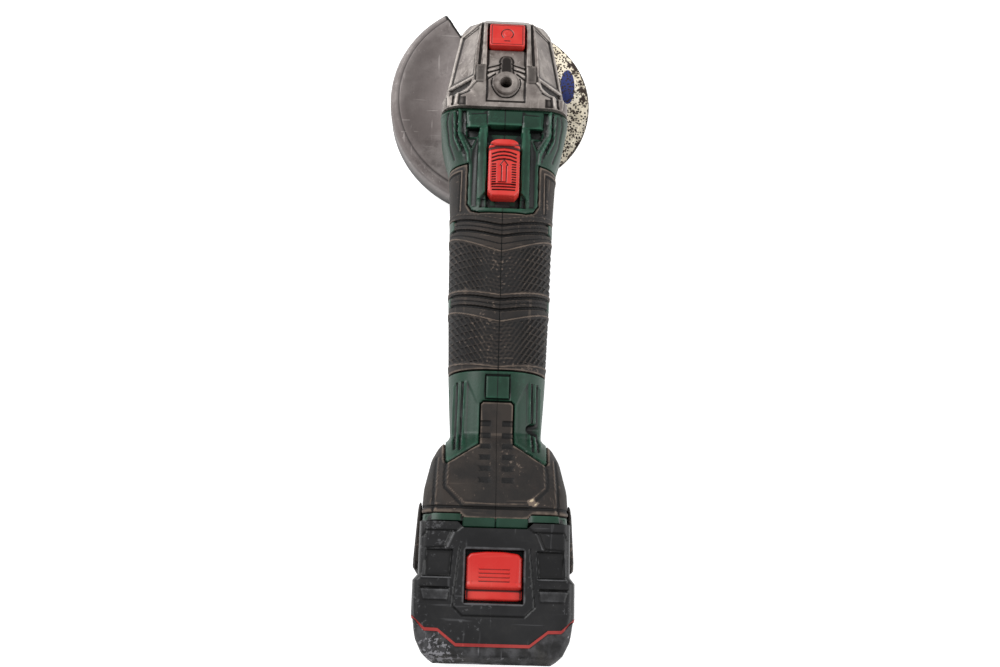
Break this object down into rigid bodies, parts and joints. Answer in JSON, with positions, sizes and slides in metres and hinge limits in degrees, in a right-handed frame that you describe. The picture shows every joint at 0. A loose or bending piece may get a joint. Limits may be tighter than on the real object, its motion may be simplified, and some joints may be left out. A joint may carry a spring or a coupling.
{
  "type": "cordless angle grinder",
  "caption": "Cordless angle grinder with guard, worn cutting disc, slide switch, spindle lock and slide-on battery pack.",
  "frame": {"origin": "on the spindle axis, in the middle of the spindle's free thread below the clamp nut", "axes": "+Z along the spindle away from the wheel, +Y from the battery to the gear head, +X to the right"},
  "size_m": [0.1265, 0.4015, 0.115],
  "materials": {
    "green_plastic": "satin",
    "black_rubber": "matte",
    "cast_alloy": "satin",
    "red_plastic": "satin",
    "red_trim": "satin",
    "guard_steel": "satin",
    "abrasive": "matte",
    "steel": "satin",
    "dark_steel": "satin",
    "black_plastic": "satin",
    "grey_plastic": "matte",
    "copper": "satin",
    "lamination": "matte",
    "ferrite": "matte",
    "carbon": "matte",
    "circuit": "satin",
    "cell_wrap": "gloss"
  },
  "bodies": {
    "tool_body": {"air_baffle": "black_plastic", "bearing_cover": "cast_alloy", "bearing_retainer": "steel", "brush_holders": "copper", "bumper_left": "black_rubber", "bumper_right": "black_rubber", "carbon_brushes": "carbon", "control_board": "circuit", "cover_screws": "dark_steel", "foot_cover_left": "black_rubber", "foot_cover_right": "black_rubber", "front_motor_bearing": "steel", "gear_housing": "cast_alloy", "grip_left": "black_rubber", "grip_right": "black_rubber", "head_screws": "dark_steel", "housing_left": "green_plastic", "housing_right": "green_plastic", "housing_screws": "dark_steel", "lock_spring": "steel", "motor_can": "dark_steel", "motor_end_bell": "black_plastic", "motor_magnets": "ferrite", "rear_motor_bearing": "steel", "spindle_bearing": "steel", "switch_block": "black_plastic", "switch_spring": "steel", "terminal_blades": "copper", "terminal_block": "black_plastic", "upper_bearing": "steel"},
    "spindle_group": {"spindle": "steel", "crown_gear": "dark_steel", "inner_flange": "steel", "cutting_disc": "abrasive", "clamp_nut": "steel"},
    "rotor": {"motor_shaft": "steel", "pinion": "dark_steel", "armature_core": "lamination", "armature_windings": "copper", "commutator": "copper", "fan": "black_plastic"},
    "guard": {"guard_shell": "guard_steel", "guard_clamp": "guard_steel", "guard_clamp_screw": "dark_steel"},
    "lock": {"lock_button": "red_plastic", "lock_pin": "steel"},
    "switch": {"switch_knob": "red_plastic", "switch_rod": "steel"},
    "battery": {"battery_front_shell": "black_plastic", "battery_rear_shell": "grey_plastic", "battery_trim": "red_trim", "battery_cells": "cell_wrap", "cell_holders": "black_plastic", "cell_links": "steel", "battery_board": "circuit", "battery_contacts": "copper", "battery_screws": "dark_steel", "latch_spring": "steel"},
    "latch": {"battery_latch": "red_plastic"}
  },
  "joints": [
    {"name": "spindle_spin", "type": "hinge", "parent": "tool_body", "child": "spindle_group", "pos_m": [0, 0, 0.03], "axis": [0, 0, 1], "continuous": true},
    {"name": "rotor_spin", "type": "hinge", "parent": "tool_body", "child": "rotor", "pos_m": [0, -0.1, 0.054], "axis": [0, -1, 0], "continuous": true},
    {"name": "guard_turn", "type": "hinge", "parent": "tool_body", "child": "guard", "pos_m": [0, 0, 0.025], "axis": [0, 0, 1], "range_deg": [-60, 30]},
    {"name": "lock_press", "type": "slide", "parent": "tool_body", "child": "lock", "axis": [0, 0, -1], "range_m": [0, 0.004], "stiffness_N_per_m": 600, "springref_m": -0.003, "deforming": ["lock_spring"]},
    {"name": "switch_slide", "type": "slide", "parent": "tool_body", "child": "switch", "axis": [0, 1, 0], "range_m": [0, 0.006], "stiffness_N_per_m": 400, "springref_m": -0.004, "deforming": ["switch_spring"]},
    {"name": "battery_slide", "type": "slide", "parent": "tool_body", "child": "battery", "axis": [0, 0, 1], "range_m": [0, 0.12]},
    {"name": "latch_press", "type": "slide", "parent": "battery", "child": "latch", "axis": [0, -1, 0], "range_m": [0, 0.0022], "stiffness_N_per_m": 900, "springref_m": -0.002, "deforming": ["latch_spring"]}
  ],
  "couplings": [
    {"joint": "rotor_spin", "follows": "spindle_spin", "ratio": 3.1667}
  ]
}
